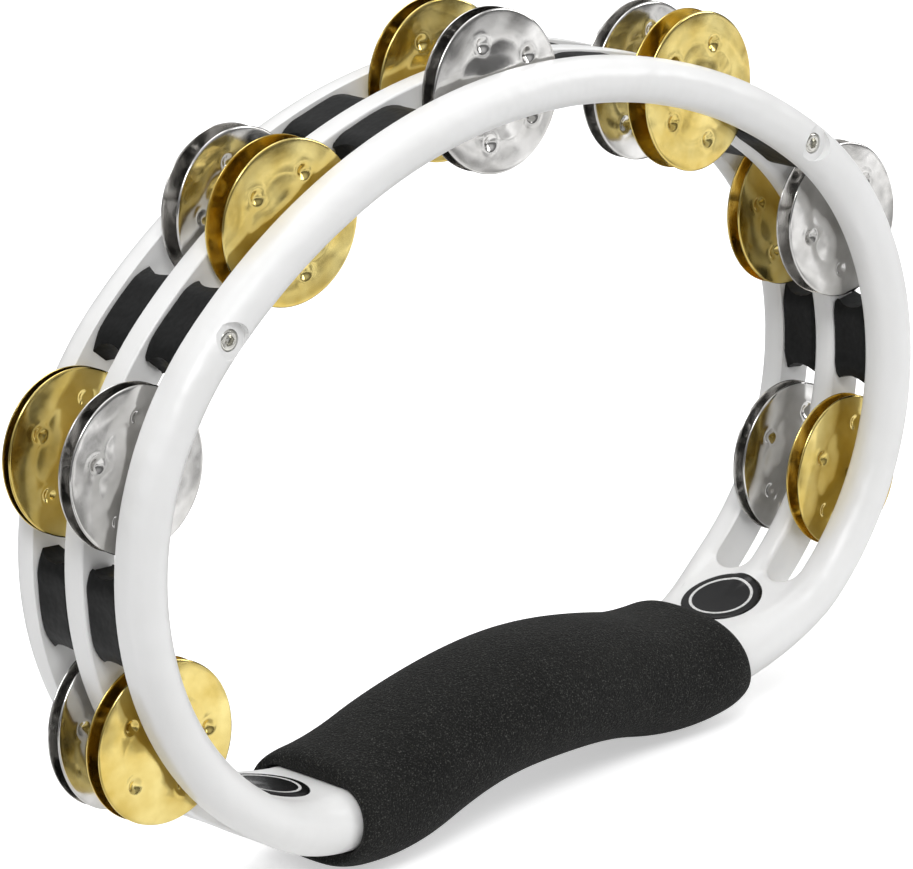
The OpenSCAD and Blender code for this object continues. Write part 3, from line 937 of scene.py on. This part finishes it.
def badge(name, half, mark):
    """Thin glossy oval that follows the inner face of the web. mark is the printed ring."""
    b = Build()
    n = 96
    lift = 0.02
    if not mark:
        rings = []
        R = BADGE_D / 2
        for r, h in ((0.001, 0.5), (R * 0.3, 0.5), (R * 0.6, 0.49), (R * 0.85, 0.47), (R - 0.7, 0.42), (R - 0.35, 0.33), (R - 0.1, 0.18), (R, 0.0), (R, -0.35)):
            ring = []
            for i in range(n):
                t = 2 * math.pi * i / n
                s = TOTAL - BADGE_U - r * math.cos(t)
                y = r * math.sin(t)
                ring.append(place(half * s, y, -(thick(s) - crown(s, y, -1) + h + lift)))
            rings.append(ring)
        b.grid(rings, closed=True)
        b.fan(rings[-1], place(half * (TOTAL - BADGE_U), 0, -(thick(TOTAL - BADGE_U) - 0.35)))
    else:
        R = BADGE_D / 2
        for r0, r1 in ((R * 0.72, R * 0.79),):
            rings = []
            for r, h in ((r0, 0.47), (r0, 0.525), ((r0 + r1) / 2, 0.53), (r1, 0.525), (r1, 0.45)):
                ring = []
                for i in range(n):
                    t = 2 * math.pi * i / n
                    s = TOTAL - BADGE_U - r * math.cos(t)
                    y = r * math.sin(t)
                    ring.append(place(half * s, y, -(thick(s) - crown(s, y, -1) + h + lift)))
                rings.append(ring)
            b.grid(rings + [rings[0]], closed=True)
    ob = b.object(name, sharp=45)
    dress(ob, M_PRINT if mark else M_BADGE)
    return ob


for half, word in ((-1, "left"), (1, "right")):
    ob = badge(f"{word}_badge_disc", half, False)
    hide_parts(f"{word}_badge")
    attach(ob, "frame")
    pr = badge(f"{word}_badge_ring", half, True)
    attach(pr, "frame")

# ---------------------------------------------------------------- stage
floor_z = cad_lo.z - 0.0006
b = Build()
n = 40
half = 3.0
ids = [[b.point(((-1 + 2 * i / n) * half, (-1 + 2 * j / n) * half, floor_z)) for i in range(n + 1)] for j in range(n + 1)]
for j in range(n):
    for i in range(n):
        b.f.append((ids[j][i], ids[j][i + 1], ids[j + 1][i + 1], ids[j + 1][i]))
floor = b.object("studio_floor", merge=1e-7, sharp=0)
m, nt, p = material("studio_floor_with_painted_shade")
v = coords(nt)
lpf = nt.nodes.new("ShaderNodeLightPath")
painted_shade_mix = nt.nodes.new("ShaderNodeMix")
painted_shade_mix.data_type = "RGBA"
nt.links.new(lpf.outputs["Is Camera Ray"], painted_shade_mix.inputs["Factor"])
# Painted light and shade: for rays other than the camera's, the floor's colour is broad grey patches from 0.22 to 0.92
# that show only as reflections in the metal discs; the camera sees an even 0.88 to 0.90.
nt.links.new(ramp(nt, noise(nt, v, 0.0042, 1.0), [(0.40, (0.22, 0.22, 0.22)), (0.56, (0.92, 0.92, 0.92))]), painted_shade_mix.inputs["A"])
nt.links.new(ramp(nt, noise(nt, v, 0.004, 2.0), [(0.3, (0.88, 0.88, 0.88)), (0.7, (0.90, 0.90, 0.90))]), painted_shade_mix.inputs["B"])
nt.links.new(painted_shade_mix.outputs["Result"], p.inputs["Base Color"])
p.inputs["Roughness"].default_value = 0.9
p.inputs["Specular IOR Level"].default_value = 0.1
p.inputs["Emission Color"].default_value = (1, 1, 1, 1)
# The floor glows as a faint light: emission 0.5 where the camera sees it, 0.1 for light reaching the object from below.
nt.links.new(span(nt, lpf.outputs["Is Camera Ray"], 0.10, 0.50), p.inputs["Emission Strength"])
dress(floor, m)

world = bpy.data.worlds.new("studio_light")
scene.world = world
world.use_nodes = True
wn = world.node_tree
wn.nodes.clear()
wo = wn.nodes.new("ShaderNodeOutputWorld")
bg = wn.nodes.new("ShaderNodeBackground")
tc = wn.nodes.new("ShaderNodeTexCoord")
sep = wn.nodes.new("ShaderNodeSeparateXYZ")
wn.links.new(tc.outputs["Generated"], sep.inputs[0])
wr = wn.nodes.new("ShaderNodeValToRGB")
els = wr.color_ramp.elements
mr = wn.nodes.new("ShaderNodeMapRange")
mr.inputs["From Min"].default_value = -1
wn.links.new(sep.outputs["Z"], mr.inputs["Value"])
wn.links.new(mr.outputs[0], wr.inputs[0])
for pos, c in ((0.0, 0.85), (0.42, 0.60), (0.52, 0.17), (0.60, 0.20), (0.74, 0.68), (1.0, 0.98)):
    e = els.new(pos) if pos not in (0.0, 1.0) else (els[0] if pos == 0.0 else els[-1])
    e.color = (c, c, c * 1.01, 1)
wn.links.new(wr.outputs[0], bg.inputs[0])
bg.inputs[1].default_value = 0.85
lp = wn.nodes.new("ShaderNodeLightPath")
bg2 = wn.nodes.new("ShaderNodeBackground")
bg2.inputs[0].default_value = (0.93, 0.93, 0.93, 1)
mx = wn.nodes.new("ShaderNodeMixShader")
wn.links.new(lp.outputs["Is Camera Ray"], mx.inputs[0])
wn.links.new(bg.outputs[0], mx.inputs[1])
wn.links.new(bg2.outputs[0], mx.inputs[2])
wn.links.new(mx.outputs[0], wo.inputs[0])


def area(name, loc, aim, size, power, colour=(1, 1, 1)):
    li = bpy.data.lights.new(name, "AREA")
    li.shape, li.size, li.size_y = "RECTANGLE", size[0], size[1]
    li.energy, li.color = power, colour
    o = bpy.data.objects.new(name, li)
    scene.collection.objects.link(o)
    o.location = loc
    o.rotation_mode = "QUATERNION"
    o.rotation_quaternion = (Vector(aim) - Vector(loc)).to_track_quat("-Z", "Y")
    return o


area("key_softbox", (-1.0, -1.1, 1.7), (0, 0, 0.07), (1.0, 0.8), 21)
area("top_softbox", (0.3, 0.4, 1.8), (0, 0, 0.05), (1.2, 1.0), 11)
area("right_softbox", (1.5, -0.9, 0.8), (0, 0, 0.08), (0.7, 0.7), 7)

# ---------------------------------------------------------------- camera
az, el, roll = rad(42.49), rad(18.57), rad(-3.86)
d = Vector((math.sin(az) * math.cos(el), math.cos(az) * math.cos(el), -math.sin(el)))
rt = Vector((math.cos(az), -math.sin(az), 0))
up = rt.cross(d)
r2 = math.cos(roll) * rt + math.sin(roll) * up
u2 = -math.sin(roll) * rt + math.cos(roll) * up
target = Vector((-0.0227, -0.0170, 0.07656))
loc = target - 1.230 * d
cam_data = bpy.data.cameras.new("camera")
cam = bpy.data.objects.new("camera", cam_data)
scene.collection.objects.link(cam)
cam.matrix_world = Matrix((
    (r2.x, u2.x, -d.x, loc.x),
    (r2.y, u2.y, -d.y, loc.y),
    (r2.z, u2.z, -d.z, loc.z),
    (0, 0, 0, 1),
))
cam_data.sensor_width = 36
cam_data.lens = 5399 / 913 * 36
cam_data.shift_x = -6.4 / 913
cam_data.shift_y = -2.1 / 913
cam_data.clip_start, cam_data.clip_end = 0.05, 50
scene.camera = cam
scene.view_settings.view_transform = "Standard"
scene.view_settings.look = "None"
scene.view_settings.exposure = 0.0
